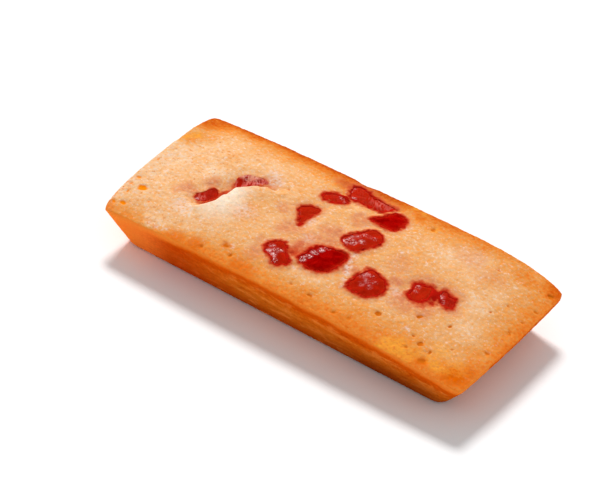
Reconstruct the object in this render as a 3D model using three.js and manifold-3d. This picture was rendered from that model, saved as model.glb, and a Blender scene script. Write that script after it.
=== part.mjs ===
// A small almond cake baked in an ingot-shaped tin, with pieces of red fruit sunk in its top.
// Millimetres, +Z up. The origin is on the table, under the middle of the cake.
import * as THREE from "three";
import { mergeVertices } from "three/addons/utils/BufferGeometryUtils.js";
import Module from "manifold-3d";

const wasm = await Module();
wasm.setup();

// The cake's driving sizes
const cakeLength = 85; // along X, at the corners of the rim
const cakeWidth = 42; // along Y
const cornerHeight = 8.6; // of the rim's four corners above the table
const rimCornerRadius = 1.1; // of the rim's outline, seen from above
const baseCornerRadius = 2.6;
const endBow = 0.5; // how far the middle of each end bulges past its corners

// The side, from the rim down to the table
const rimRound = 0.6; // rounding between the top and the side
const lipHeight = 1.3; // of the upright band under the rim
const lipStep = 0.25; // how far the side steps in under that band
const baseInset = 4.5; // from the rim's outline in to the flat of the base, along the sides
const endInset = 5.8; // the same at the two ends
const baseRound = 1.2; // rounding between the side and the base

// How far each edge of the top rises above the corners, and the middle above the edges
const nearRise = 1.3;
const farRise = 2.6;
const farRiseSlope = 1.7; // the far edge is higher towards +X
const leftRise = 2.3;
const rightRise = 0.3;
const crownRise = 0.4;
const swellRise = 0.12; // low, long waves in the top
const swellLength = 17;

// The split in the top: its lip follows a curve, and a hollow lies on the far side of the lip
const split = {
  path: [
    [-27.6, -11.4],
    [-24.7, -7.4],
    [-23.6, -2],
    [-20.6, 2.2],
    [-15.4, 4.3],
  ],
  samples: 48,
  lipRise: 1.1,
  lipWidth: 4, // on the near side of the crest
  lipEdge: 0.6, // on the side of the hollow
  hollowDepth: 1.3,
  hollowWidth: 2.9,
  hollowMiddle: 1.7, // from the crest to the middle of the hollow
  endFade: 0.45, // the smaller, the more sudden the ends
};

// The pieces of fruit: corners of the outline on the top, how far the top dips there (sink),
// how far the piece stands above that dip (crown) and how far it goes down (depth)
const fruitPieces = [
  {
    corners: [
      [-29.4, -8.3], [-29.7, -6.1], [-28.8, -4.4], [-28.7, -3],
      [-27.5, -2.2], [-26.2, -2.9], [-26, -5.2], [-27, -8],
    ],
    sink: 0.2, crown: 0.2, depth: 1.8,
  },
  {
    corners: [
      [-25, 0.4], [-26.2, 3.3], [-25.6, 5], [-23.9, 6.4],
      [-21.9, 7], [-19.8, 6.6], [-21.6, 4.2], [-23.6, 1.6],
    ],
    sink: 0.2, crown: 0.2, depth: 1.8,
  },
  {
    corners: [
      [-11.3, 3.2], [-10.8, 4.2], [-9.4, 5.4], [-7, 5.6],
      [-7.3, 2.8], [-7.6, -0.2], [-7.8, -2.3], [-9.5, 0.4],
    ],
    sink: 0.5, crown: 0.2, depth: 2,
  },
  {
    corners: [
      [-9.4, 9.1], [-9.6, 10.7], [-7.8, 12.5], [-6, 12.5],
      [-4.2, 11.2], [-4.9, 10.1], [-7, 8.9],
    ],
    sink: 0.4, crown: 0.3, depth: 2.2,
  },
  {
    corners: [
      [-5.2, 13.5], [-6.3, 15.6], [-7, 18.2], [-5.8, 19.4], [-4, 18.8],
      [-1.4, 17.6], [1.6, 17.4], [3.8, 17.2], [2.5, 14.2], [-0.4, 13.6], [-3, 13.3],
    ],
    sink: 0.8, crown: 0.5, depth: 2.2,
  },
  {
    corners: [
      [1.7, 9.7], [3.2, 12.6], [4.4, 15.6], [5.3, 16.1], [8.1, 14.8],
      [8.6, 11.9], [8.1, 9.9], [6.2, 9], [4, 9.2],
    ],
    sink: 0.3, crown: 0.2, depth: 2.4,
  },
  {
    corners: [
      [0.8, 0.2], [1.3, 2.3], [2.6, 4], [4.7, 7.2], [6.2, 7],
      [7.6, 6], [8.2, 3.5], [7.1, 1.1], [5.6, -1.5], [4.2, -2], [2.5, -1.2],
    ],
    sink: 0.3, crown: 0.5, depth: 2.6,
  },
  {
    corners: [
      [-9.1, -13.3], [-9.8, -11.2], [-9, -9.5], [-7.4, -8.2], [-6, -9.1],
      [-5.1, -10.6], [-3.9, -11.8], [-2.6, -13.4], [-3.7, -14.6], [-5.2, -15.8], [-7, -14.2],
    ],
    sink: 0.3, crown: 0.5, depth: 2.6,
  },
  {
    corners: [
      [-2.8, -10.9], [-2.4, -8.8], [-2.1, -6.2], [-0.8, -4.3], [1.2, -3.7],
      [3.7, -3.1], [5.2, -3.3], [5.4, -6.3], [5.1, -8.6], [4.1, -10.7], [2.1, -12], [-0.3, -12.1],
    ],
    sink: 0.3, crown: 0.5, depth: 2.8,
  },
  {
    corners: [
      [9.2, -11.6], [9.1, -9.2], [9.2, -6.3], [10.2, -3.6], [12.8, -4],
      [15, -4.8], [16, -6.3], [16.3, -8.4], [15.3, -10.6], [13.7, -11.8], [11.6, -11.9],
    ],
    sink: 0.3, crown: 0.5, depth: 2.8,
  },
  {
    corners: [
      [20.2, -5.3], [19.8, -2.9], [19.7, -0.7], [21.2, -0.2],
      [23, 0.4], [23.9, -0.9], [24, -3], [23.4, -5.1], [21.8, -5.7],
    ],
    sink: 0.5, crown: 0.3, depth: 2.2,
  },
  {
    corners: [
      [24.7, 0.6], [25.1, 1.6], [26.4, 1], [28.7, 0.5],
      [29.4, -1.3], [28.5, -3.1], [26.4, -2.6], [25, -1.4],
    ],
    sink: 0.5, crown: 0.3, depth: 2.2,
  },
];
const fruitGap = 0.3; // between a piece and the crumb round it
const fruitTaper = 0.55; // below 1 a piece has steep edges and a flat middle
const wrinkleDepth = 0.14; // of the folds on a piece
const wrinkleLength = 2.6;
const dipMargin = 2.4; // how far the dip in the top reaches past a piece
const pocketRise = 5; // how far a pocket's cutter stands above the crumb

// How finely each surface is divided
const topColumns = 64;
const topRows = 32;
const columnFocus = { at: -0.4, pull: 0.45 }; // columns crowd towards the split
const rowFocus = { at: -0.08, pull: 0.3 };
const outlinePoints = 20; // round each piece of fruit
const fruitRings = 6; // from the bottom to the top of each piece

const crumbMaterial = new THREE.MeshStandardMaterial({ color: 0xe3b27a, roughness: 0.85, metalness: 0 });
const fruitMaterial = new THREE.MeshStandardMaterial({ color: 0x8e0f0c, roughness: 0.25, metalness: 0 });

const halfLength = cakeLength / 2;
const halfWidth = cakeWidth / 2;

// The height of the baked top before anything sinks into it: four edge curves blended across the middle
function bakedTop(x, y) {
  const u = THREE.MathUtils.clamp(x / halfLength, -1, 1);
  const v = THREE.MathUtils.clamp(y / halfWidth, -1, 1);
  const near = nearRise * (1 - u ** 2);
  const far = (farRise + farRiseSlope * u) * (1 - Math.abs(u) ** 5);
  const left = leftRise * (1 - v ** 4);
  const right = rightRise * (1 - v ** 2);
  const edges = ((1 - v) * near + (1 + v) * far + (1 - u) * left + (1 + u) * right) / 2;
  const middle = (1 - u ** 2) * (1 - v ** 2);
  const wave = Math.PI / swellLength;
  const swell = swellRise * Math.sin(wave * x) * Math.cos(wave * (y - x / 2));
  return cornerHeight + edges + (crownRise + swell) * middle;
}

// Points along the crest of the split
function splitCrest() {
  const curve = new THREE.SplineCurve(split.path.map(([x, y]) => new THREE.Vector2(x, y)));
  return curve.getPoints(split.samples);
}

const crest = splitCrest();

// A raised lip on the near side of the crest and a hollow on its far side, fading out at both ends
function splitRelief(x, y) {
  let nearest = 0;
  let distance = Infinity;
  crest.forEach((point, step) => {
    const span = Math.hypot(point.x - x, point.y - y);
    if (span < distance) {
      distance = span;
      nearest = step;
    }
  });
  const before = crest[Math.max(nearest - 1, 0)];
  const after = crest[Math.min(nearest + 1, crest.length - 1)];
  const turn = (after.x - before.x) * (y - before.y) - (after.y - before.y) * (x - before.x);
  const fade = Math.sin((Math.PI * nearest) / split.samples) ** split.endFade;
  const bell = (offset, width) => Math.exp(-((offset / width) ** 2));
  if (turn < 0) return fade * split.lipRise * bell(distance, split.lipWidth);
  const lip = split.lipRise * bell(distance, split.lipEdge);
  return fade * (lip - split.hollowDepth * bell(distance - split.hollowMiddle, split.hollowWidth));
}

// A piece's outline as a closed curve through its corners, and the middle of it
function fruitOutline(piece) {
  const corners = piece.corners.map(([x, y]) => new THREE.Vector3(x, y, 0));
  const curve = new THREE.CatmullRomCurve3(corners, true, "centripetal");
  const points = curve.getSpacedPoints(outlinePoints).slice(0, outlinePoints);
  if (THREE.ShapeUtils.isClockWise(points)) points.reverse();
  const middle = new THREE.Vector3();
  points.forEach((point) => middle.addScaledVector(point, 1 / outlinePoints));
  return { points, middle };
}

const outlines = fruitPieces.map(fruitOutline);

// How far a point lies outside a piece's outline, 0 on it or within
function distanceOutside(outline, x, y) {
  const reach = Math.hypot(x - outline.middle.x, y - outline.middle.y);
  let closest = Infinity;
  let edge = 0;
  for (const point of outline.points) {
    const span = Math.hypot(point.x - x, point.y - y);
    if (span < closest) {
      closest = span;
      edge = Math.hypot(point.x - outline.middle.x, point.y - outline.middle.y);
    }
  }
  return reach < edge ? 0 : closest;
}

// The top as it is: baked, split, and dipping towards each piece of fruit
function topHeight(x, y) {
  let height = bakedTop(x, y) + splitRelief(x, y);
  fruitPieces.forEach((piece, order) => {
    const outside = distanceOutside(outlines[order], x, y);
    height -= piece.sink * (1 - THREE.MathUtils.smoothstep(outside, 0, dipMargin));
  });
  return height;
}

// A point of the rounded rectangle that lies inset from the rim, for u and v from -1 to 1
function planPoint(u, v, inset, radius) {
  const halfX = halfLength - (inset * endInset) / baseInset + endBow * (1 - v ** 2);
  const halfY = halfWidth - inset;
  const x = Math.abs(u) * halfX;
  const y = Math.abs(v) * halfY;
  const a = (x - (halfX - radius)) / radius;
  const b = (y - (halfY - radius)) / radius;
  const inCorner = a > 0 && b > 0;
  const roundX = inCorner ? halfX - radius + radius * a * Math.sqrt(1 - (b * b) / 2) : x;
  const roundY = inCorner ? halfY - radius + radius * b * Math.sqrt(1 - (a * a) / 2) : y;
  return [Math.sign(u) * roundX, Math.sign(v) * roundY];
}

// The levels of the side below the top's edge: inset from the rim, and height for a given rim height
function sideLevels() {
  const levels = [
    { inset: rimRound * 0.3, height: (rim) => rim - rimRound * 0.3 },
    { inset: 0, height: (rim) => rim - rimRound },
    { inset: lipStep / 3, height: (rim) => rim - lipHeight },
    { inset: lipStep, height: (rim) => rim - lipHeight - lipStep },
  ];
  const sideTilt = Math.PI / 6; // from upright
  const roundTop = baseRound * (1 - Math.sin(sideTilt));
  const roundInset = baseInset - baseRound * Math.cos(sideTilt);
  const middleInset = (lipStep + roundInset) / 2;
  levels.push({ inset: middleInset, height: (rim) => (rim - lipHeight - lipStep + roundTop) / 2 });
  const roundSteps = 3;
  for (let step = 0; step <= roundSteps; step += 1) {
    const angle = sideTilt + ((Math.PI / 2 - sideTilt) * step) / roundSteps;
    const inset = baseInset - baseRound * Math.cos(angle);
    levels.push({ inset, height: () => baseRound * (1 - Math.sin(angle)) });
  }
  return levels;
}

// The edge of the grid of the top, counterclockwise seen from above, as pairs of u and v
function gridEdge() {
  const edge = [];
  for (let i = 0; i < topColumns; i += 1) edge.push([i, 0]);
  for (let j = 0; j < topRows; j += 1) edge.push([topColumns, j]);
  for (let i = topColumns; i > 0; i -= 1) edge.push([i, topRows]);
  for (let j = topRows; j > 0; j -= 1) edge.push([0, j]);
  return edge;
}

// Even steps from -1 to 1, crowded towards a focus
function crowded(step, steps, { at, pull }) {
  const even = (2 * step) / steps - 1;
  return even - (pull / Math.PI) * (Math.sin(Math.PI * (even - at)) - Math.sin(Math.PI * at));
}

const gridShare = (i, j) => [crowded(i, topColumns, columnFocus), crowded(j, topRows, rowFocus)];

function meshGeometry(positions, triangles) {
  const geometry = new THREE.BufferGeometry();
  geometry.setAttribute("position", new THREE.Float32BufferAttribute(positions, 3));
  geometry.setIndex(triangles);
  return geometry;
}

// The cake before the fruit is let in: a grid for the top, rings down the side, and a flat base
function cakeBlock() {
  const positions = [];
  const triangles = [];
  for (let j = 0; j <= topRows; j += 1) {
    for (let i = 0; i <= topColumns; i += 1) {
      const [x, y] = planPoint(...gridShare(i, j), rimRound, rimCornerRadius);
      positions.push(x, y, topHeight(x, y));
    }
  }
  const gridIndex = (i, j) => j * (topColumns + 1) + i;
  for (let j = 0; j < topRows; j += 1) {
    for (let i = 0; i < topColumns; i += 1) {
      const [a, b] = [gridIndex(i, j), gridIndex(i + 1, j)];
      const [c, d] = [gridIndex(i + 1, j + 1), gridIndex(i, j + 1)];
      triangles.push(a, b, c, a, c, d);
    }
  }

  const edge = gridEdge();
  let ring = edge.map(([i, j]) => gridIndex(i, j));
  const rimHeights = ring.map((index) => positions[3 * index + 2]);
  for (const level of sideLevels()) {
    const radius = THREE.MathUtils.lerp(rimCornerRadius, baseCornerRadius, level.inset / baseInset);
    const lower = edge.map(([i, j], step) => {
      const [x, y] = planPoint(...gridShare(i, j), level.inset, radius);
      positions.push(x, y, level.height(rimHeights[step]));
      return positions.length / 3 - 1;
    });
    ring.forEach((top, step) => {
      const next = (step + 1) % ring.length;
      triangles.push(top, lower[step], lower[next], top, lower[next], ring[next]);
    });
    ring = lower;
  }

  positions.push(0, 0, 0);
  const baseMiddle = positions.length / 3 - 1;
  ring.forEach((index, step) => {
    triangles.push(index, baseMiddle, ring[(step + 1) % ring.length]);
  });
  return meshGeometry(positions, triangles);
}

// The folds on a piece of fruit, a little different on each
function wrinkles(x, y, order) {
  const across = (x * Math.cos(order) + y * Math.sin(order)) / wrinkleLength;
  const along = (y * Math.cos(order) - x * Math.sin(order)) / wrinkleLength;
  return wrinkleDepth * Math.sin(2 * Math.PI * across + 2 * Math.sin(Math.PI * along + order));
}

// Rings of a piece's outline stacked from below: each has a share of the outline and a height
function stackedRings(order, rings, grow) {
  const { points, middle } = outlines[order];
  const positions = [];
  const triangles = [];
  const place = (x, y, height) => {
    const hollow = Math.min(splitRelief(x, y), 0);
    const ground = bakedTop(x, y) + hollow - fruitPieces[order].sink;
    positions.push(x, y, ground + height);
    return positions.length / 3 - 1;
  };
  const loops = rings.map(({ share, height }) =>
    points.map((point) => {
      const arm = new THREE.Vector3().subVectors(point, middle);
      arm.setLength(arm.length() * share + grow);
      const x = middle.x + arm.x;
      const y = middle.y + arm.y;
      return place(x, y, height(x, y));
    }),
  );
  const bottom = place(middle.x, middle.y, rings[0].cap(middle.x, middle.y));
  const top = place(middle.x, middle.y, rings[rings.length - 1].cap(middle.x, middle.y));
  for (let step = 0; step < outlinePoints; step += 1) {
    const next = (step + 1) % outlinePoints;
    triangles.push(bottom, loops[0][next], loops[0][step]);
    for (let level = 0; level + 1 < loops.length; level += 1) {
      const [low, high] = [loops[level], loops[level + 1]];
      triangles.push(low[step], low[next], high[next], low[step], high[next], high[step]);
    }
    const last = loops[loops.length - 1];
    triangles.push(last[step], last[next], top);
  }
  return meshGeometry(positions, triangles);
}

// A piece of fruit: a wrinkled pebble with its outline at the level of the crumb
function fruitGeometry(order) {
  const { crown, depth } = fruitPieces[order];
  const rings = [];
  for (let step = 1; step <= fruitRings; step += 1) {
    const angle = Math.PI * (step / (fruitRings + 1) - 0.5);
    const rise = Math.sin(angle) * (angle < 0 ? depth : crown);
    const folded = Math.max(Math.sin(angle), 0);
    rings.push({
      share: Math.cos(angle) ** fruitTaper,
      height: (x, y) => rise + folded * wrinkles(x, y, order),
      cap: (x, y) => (angle < 0 ? -depth : crown + wrinkles(x, y, order)),
    });
  }
  return stackedRings(order, rings, 0);
}

// What is cut from the cake to let a piece in: the piece's lower half grown by the gap, open above
function pocketGeometry(order) {
  const depth = fruitPieces[order].depth + fruitGap;
  const rings = [];
  for (let step = 1; step <= fruitRings / 2; step += 1) {
    const angle = Math.PI * (step / (fruitRings + 1) - 0.5);
    rings.push({
      share: Math.cos(angle) ** fruitTaper,
      height: () => depth * Math.sin(angle),
      cap: () => -depth,
    });
  }
  rings.push({ share: 1, height: () => 0 });
  rings.push({ share: 1, height: () => pocketRise, cap: () => pocketRise });
  return stackedRings(order, rings, fruitGap);
}

function solidOf(geometry) {
  const bare = geometry.clone();
  bare.deleteAttribute("normal");
  bare.deleteAttribute("uv");
  const merged = mergeVertices(bare, 1e-4);
  const vertProperties = new Float32Array(merged.attributes.position.array);
  const triVerts = new Uint32Array(merged.index.array);
  return new wasm.Manifold(new wasm.Mesh({ numProp: 3, vertProperties, triVerts }));
}

function geometryOf(solid) {
  const mesh = solid.getMesh();
  const geometry = meshGeometry(Array.from(mesh.vertProperties), Array.from(mesh.triVerts));
  geometry.computeVertexNormals();
  return geometry;
}

function makeCake() {
  let solid = solidOf(cakeBlock());
  fruitPieces.forEach((piece, order) => {
    solid = solid.subtract(solidOf(pocketGeometry(order)));
  });
  const cake = new THREE.Mesh(geometryOf(solid), crumbMaterial);
  cake.name = "cake";
  return cake;
}

function makeFruit(order) {
  const geometry = fruitGeometry(order);
  geometry.computeVertexNormals();
  const fruit = new THREE.Mesh(geometry, fruitMaterial);
  fruit.name = `fruit_${String(order + 1).padStart(2, "0")}`;
  return fruit;
}

const group = new THREE.Group();
group.add(makeCake());
fruitPieces.forEach((piece, order) => group.add(makeFruit(order)));

export default group;
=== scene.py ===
import math

import bmesh
import bpy
import numpy as np
from mathutils import Matrix, Vector
from mathutils import noise as softNoise
from mathutils.bvhtree import BVHTree
from mathutils.kdtree import KDTree


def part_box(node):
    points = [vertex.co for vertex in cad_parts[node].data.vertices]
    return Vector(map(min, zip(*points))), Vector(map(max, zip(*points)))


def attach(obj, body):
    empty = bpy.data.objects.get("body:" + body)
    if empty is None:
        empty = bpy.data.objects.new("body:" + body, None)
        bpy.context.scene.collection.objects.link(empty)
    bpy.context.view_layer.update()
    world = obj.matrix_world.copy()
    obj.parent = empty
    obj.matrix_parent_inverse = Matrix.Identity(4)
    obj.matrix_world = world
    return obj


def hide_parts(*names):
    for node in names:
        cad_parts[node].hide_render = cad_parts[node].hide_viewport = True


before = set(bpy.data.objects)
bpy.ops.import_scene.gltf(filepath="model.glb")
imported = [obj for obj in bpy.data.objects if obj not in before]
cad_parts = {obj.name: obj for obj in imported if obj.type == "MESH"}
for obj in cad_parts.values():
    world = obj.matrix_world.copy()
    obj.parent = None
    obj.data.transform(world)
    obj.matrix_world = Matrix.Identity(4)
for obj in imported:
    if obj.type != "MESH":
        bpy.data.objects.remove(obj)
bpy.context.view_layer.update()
softNoise.seed_set(4)  # else it differs from run to run
mm = 0.001
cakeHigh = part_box("cake")[1]
halfLength = cakeHigh.x / mm  # the cake is centred on the origin
halfWidth = cakeHigh.y / mm
print("frame loaded:", len(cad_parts), "nodes")


# One output of a node tree. Sums with it add Math nodes, and node() adds any other kind.
class Wire:
    def __init__(self, tree, socket=None):
        self.tree = tree
        self.socket = socket

    def node(self, kind, settings=None, sockets=None, out=0):
        made = self.tree.nodes.new(kind)
        for name, value in (settings or {}).items():
            if name == "stops":
                setStops(made.color_ramp, value)
            else:
                setattr(made, name, value)
        for name, value in (sockets or {}).items():
            if isinstance(value, Wire):
                self.tree.links.new(value.socket, made.inputs[name])
            else:
                made.inputs[name].default_value = value
        return Wire(self.tree, made.outputs[out] if len(made.outputs) else None)

    def out(self, name):
        return Wire(self.tree, self.socket.node.outputs[name])

    def math(self, operation, first, second=0.0):
        return self.node("ShaderNodeMath", {"operation": operation}, {0: first, 1: second})

    def __add__(self, other):
        return self.math("ADD", self, other)

    def __radd__(self, other):
        return self.math("ADD", other, self)

    def __sub__(self, other):
        return self.math("SUBTRACT", self, other)

    def __rsub__(self, other):
        return self.math("SUBTRACT", other, self)

    def __mul__(self, other):
        return self.math("MULTIPLY", self, other)

    def __rmul__(self, other):
        return self.math("MULTIPLY", other, self)

    def __truediv__(self, other):
        return self.math("DIVIDE", self, other)

    def __rtruediv__(self, other):
        return self.math("DIVIDE", other, self)

    def most(self, other):
        return self.math("MAXIMUM", self, other)

    # 0 at start, 1 at end and a smooth rise between, whichever of them is larger
    def ease(self, start, end):
        sockets = {"Value": self, "From Min": start, "From Max": end, "To Min": 0.0, "To Max": 1.0}
        settings = {"interpolation_type": "SMOOTHSTEP", "clamp": True}
        return self.node("ShaderNodeMapRange", settings, sockets)

    # the first colour where this is 0, the second where it is 1
    def blend(self, first, second):
        settings = {"data_type": "RGBA", "clamp_factor": True}
        return self.node("ShaderNodeMix", settings, {0: self, 6: first, 7: second}, out=2)


def setStops(ramp, stops):
    ramp.elements.remove(ramp.elements[1])
    ramp.elements[0].position, ramp.elements[0].color = stops[0]
    for place, shade in stops[1:]:
        ramp.elements.new(place).color = shade


# A colour as read off a screen, 0 to 255, made linear
def seen(red, green, blue):
    shares = [value / 255 for value in (red, green, blue)]
    linear = [s / 12.92 if s < 0.04045 else ((s + 0.055) / 1.055) ** 2.4 for s in shares]
    return (*linear, 1.0)


# A new object in the scene, from a mesh, a camera or a light
def linked(name, data):
    made = bpy.data.objects.new(name, data)
    bpy.context.scene.collection.objects.link(made)
    return made


def pieceFrom(work, name):
    mesh = bpy.data.meshes.new(name)
    work.to_mesh(mesh)
    work.free()
    return linked(name, mesh)


# A CAD mesh is loose triangles, so their corners are joined
def joinCorners(work):
    bmesh.ops.remove_doubles(work, verts=work.verts, dist=0.001 * mm)


def copyOfNode(nodeName, pieceName):
    work = bmesh.new()
    work.from_mesh(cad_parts[nodeName].data)
    joinCorners(work)
    return pieceFrom(work, pieceName)


def bakeModifiers(piece):
    depsgraph = bpy.context.evaluated_depsgraph_get()
    depsgraph.update()
    shaped = piece.evaluated_get(depsgraph)
    mesh = bpy.data.meshes.new_from_object(shaped, preserve_all_data_layers=True, depsgraph=depsgraph)
    piece.modifiers.clear()
    piece.data = mesh
    mesh.name = piece.name


def remesh(piece, voxel, rounds):
    voxels = piece.modifiers.new("voxels", "REMESH")
    voxels.mode = "VOXEL"
    voxels.voxel_size = voxel
    voxels.use_smooth_shade = True
    soften = piece.modifiers.new("soften", "SMOOTH")
    soften.factor = 0.5
    soften.iterations = rounds
    bakeModifiers(piece)


def vertexArray(piece, name):
    values = np.empty(len(piece.data.vertices) * 3, np.float32)
    piece.data.vertices.foreach_get(name, values)
    return values.reshape(-1, 3).astype(float)


def setPlaces(piece, places):
    piece.data.vertices.foreach_set("co", np.ascontiguousarray(places, np.float32).ravel())
    piece.data.update()


def setAttributes(piece, marks):
    for name, values in marks.items():
        layer = piece.data.attributes.new(name, "FLOAT", "POINT")
        layer.data.foreach_set("value", np.ascontiguousarray(values, np.float32))


def surfaceOf(piece):
    work = bmesh.new()
    work.from_mesh(piece.data)
    tree = BVHTree.FromBMesh(work)
    work.free()
    return tree


# As Wire.ease, for an array
def smoothRamp(values, start, end):
    share = np.clip((values - start) / (end - start), 0, 1)
    return share * share * (3 - 2 * share)


# How far noise with features of the given size carries each point
def wandering(co, size, amount):
    return np.array([softNoise.noise_vector(Vector(point) / size) for point in co]) * amount


# A value that changes along the length, from a table of some x and the amount at each
def alongLength(x, table):
    return np.interp(x, table["x"], table["amount"])


# The strongest of some round spots at each point. A spot is x, y and radius in millimetres, and strength.
def spots(co, places):
    total = np.zeros(len(co))
    for x, y, radius, strength in places:
        away = np.hypot(co[:, 0] - x, co[:, 1] - y) / radius
        total = np.maximum(total, strength * smoothRamp(away, 1.0, 0.2))
    return total


# A Geometry Nodes tree with named number inputs
def geometryTree(name, sizes):
    tree = bpy.data.node_groups.new(name, "GeometryNodeTree")
    tree.interface.new_socket("Geometry", in_out="INPUT", socket_type="NodeSocketGeometry")
    for label in sizes:
        tree.interface.new_socket(label, in_out="INPUT", socket_type="NodeSocketFloat")
    tree.interface.new_socket("Geometry", in_out="OUTPUT", socket_type="NodeSocketGeometry")
    return tree, Wire(tree).node("NodeGroupInput")


def endTree(start, geometry, material):
    real = start.node("GeometryNodeRealizeInstances", {}, {"Geometry": geometry})
    dressed = start.node("GeometryNodeSetMaterial", {}, {"Geometry": real, "Material": material})
    start.node("NodeGroupOutput", {}, {"Geometry": dressed})


def runTree(piece, tree, sizes):
    shaper = piece.modifiers.new(tree.name, "NODES")
    shaper.node_group = tree
    for item in tree.interface.items_tree:
        if item.in_out == "INPUT" and item.name in sizes:
            shaper[item.identifier] = sizes[item.name]
    bakeModifiers(piece)


# Noise about 0 over a surface, with features of the named size
def sizedNoise(start, size, seed, detail=2.0, bend=0.0):
    place = start.node("GeometryNodeInputPosition")
    sockets = {"Vector": place, "W": seed, "Scale": 1 / size, "Detail": detail, "Distortion": bend}
    return start.node("ShaderNodeTexNoise", {"noise_dimensions": "4D"}, sockets) - 0.5


def named(start, name):
    return start.node("GeometryNodeInputNamedAttribute", {"data_type": "FLOAT"}, {"Name": name})


def keep(start, geometry, name, value):
    sockets = {"Geometry": geometry, "Name": name, "Value": value}
    return start.node("GeometryNodeStoreNamedAttribute", {"data_type": "FLOAT"}, sockets)


def pushOut(start, geometry, rise):
    normal = start.node("GeometryNodeInputNormal")
    push = start.node("ShaderNodeVectorMath", {"operation": "SCALE"}, {0: normal, "Scale": rise})
    return start.node("GeometryNodeSetPosition", {}, {"Geometry": geometry, "Offset": push})


# Material helpers
def newMaterial(name):
    made = bpy.data.materials.new(name)
    made.use_nodes = True
    made.node_tree.nodes.clear()
    return made, Wire(made.node_tree)


def finishMaterial(start, fixed, varied):
    shader = start.node("ShaderNodeBsdfPrincipled", {}, {**fixed, **varied})
    start.node("ShaderNodeOutputMaterial", {}, {"Surface": shader})


def placeInMillimetres(start):
    place = start.node("ShaderNodeTexCoord").out("Object")
    return start.node("ShaderNodeVectorMath", {"operation": "SCALE"}, {0: place, "Scale": 1 / mm})


def noise(start, place, size, detail, rough, seed, bend=0.0):
    sockets = {"Vector": place, "W": seed, "Scale": 1 / size}
    sockets.update({"Detail": detail, "Roughness": rough, "Distortion": bend})
    return start.node("ShaderNodeTexNoise", {"noise_dimensions": "4D"}, sockets)


def readAttribute(start, name):
    return start.node("ShaderNodeAttribute", {"attribute_name": name}).out("Fac")


# A colour as seen, divided by the light expected there. Where that light is weaker than on the flat top,
# this is painted light: the surface is painted brighter to cancel its shade.
def paintOutLight(start, skin, lit):
    brightest = (0.95, 0.95, 0.95)
    bare = start.node("ShaderNodeVectorMath", {"operation": "SCALE"}, {0: skin, "Scale": 1 / lit})
    return start.node("ShaderNodeVectorMath", {"operation": "MINIMUM"}, {0: bare, 1: brightest})


# Camera and light
view = {
    "azimuth": 25.5,
    "elevation": 37.1,
    "roll": 11.2,
    "distance": 1.0135,
    "lens": 300.0,  # long, as in product photographs
    "sensor": 36.0,
    "clipStart": 0.01,
    "aimRight": -0.0055,  # the point aimed at, from the origin
    "aimUp": 0.0089,
}


def makeCamera():
    around, above, roll = (math.radians(view[key]) for key in ("azimuth", "elevation", "roll"))
    flat = math.cos(above)
    back = Vector((math.sin(around) * flat, -math.cos(around) * flat, math.sin(above)))
    level = Vector((math.cos(around), math.sin(around), 0))
    upright = back.cross(level)
    right = math.cos(roll) * level + math.sin(roll) * upright
    up = math.cos(roll) * upright - math.sin(roll) * level
    camera = linked("camera", bpy.data.cameras.new("camera"))
    turned = Matrix((right, up, back)).transposed().to_4x4()
    turned.translation = view["aimRight"] * right + view["aimUp"] * up + view["distance"] * back
    camera.matrix_world = turned
    camera.data.lens = view["lens"]
    camera.data.sensor_width = view["sensor"]
    camera.data.clip_start = view["clipStart"]
    bpy.context.scene.camera = camera


light = {
    "keyFrom": (-1.04, 1.24, 1.7),
    "keySize": 0.6,
    "keyPower": 50.0,
    "skyLow": 0.9,  # brightness of the surroundings at the horizon
    "skyHigh": 0.45,  # and overhead
    "skyHighFrom": 0.9,  # the height on a unit sphere from which it is all overhead
    "onTop": 1.2,  # how brightly all this lights the top and the sides, and the key light's share
    "onSide": 0.71,
    "fromKey": 0.75,
}


def makeLight():
    key = linked("key", bpy.data.lights.new("key", "AREA"))
    key.data.shape = "DISK"
    key.data.size = light["keySize"]
    key.data.energy = light["keyPower"]
    key.location = light["keyFrom"]
    key.rotation_euler = Vector(light["keyFrom"]).to_track_quat("Z", "Y").to_euler()

    world = bpy.data.worlds.new("studio")
    bpy.context.scene.world = world
    world.use_nodes = True
    world.node_tree.nodes.clear()
    start = Wire(world.node_tree)
    heading = start.node("ShaderNodeTexCoord").out("Generated")
    height = start.node("ShaderNodeSeparateXYZ", {}, {"Vector": heading}).out("Z")
    overhead = height.ease(0.0, light["skyHighFrom"])
    glow = overhead * (light["skyHigh"] - light["skyLow"]) + light["skyLow"]
    shade = start.node("ShaderNodeBackground", {}, {"Color": (1, 1, 1, 1), "Strength": glow})
    start.node("ShaderNodeOutputWorld", {}, {"Surface": shade})


floorLook = {
    "size": 6.0,
    "drop": 0.05 * mm,  # clear of the cake's base
    "shade": (0.92, 0.92, 0.92, 1),
    "roughness": 0.9,
}


def makeFloor():
    work = bmesh.new()
    bmesh.ops.create_grid(work, x_segments=1, y_segments=1, size=floorLook["size"] / 2)
    bmesh.ops.translate(work, verts=work.verts, vec=(0, 0, -floorLook["drop"]))
    floor = pieceFrom(work, "floor")
    pale, start = newMaterial("paleFloor")
    matte = {"Specular IOR Level": 0.0, "Roughness": floorLook["roughness"]}
    finishMaterial(start, matte, {"Base Color": floorLook["shade"]})
    floor.data.materials.append(pale)


crumb = {
    "mottle": 0.35,  # how unevenly it is browned, in patches, in specks and in grains
    "speckle": 0.7,
    "grain": 0.4,
    "strongGaps": (-22.0, -32.0),  # x from which the golden gaps grow stronger, and where they are strongest
    "darkPits": (-36.0, -22.0),  # x from which the pits grow darker, and where they are darkest
    "borderWaver": 8.0,  # of the border between the top and the side
    "sideHeight": 9.0,
    "bandHeight": 0.8,  # of the bright band under the rim, in the side's colours
}

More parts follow.
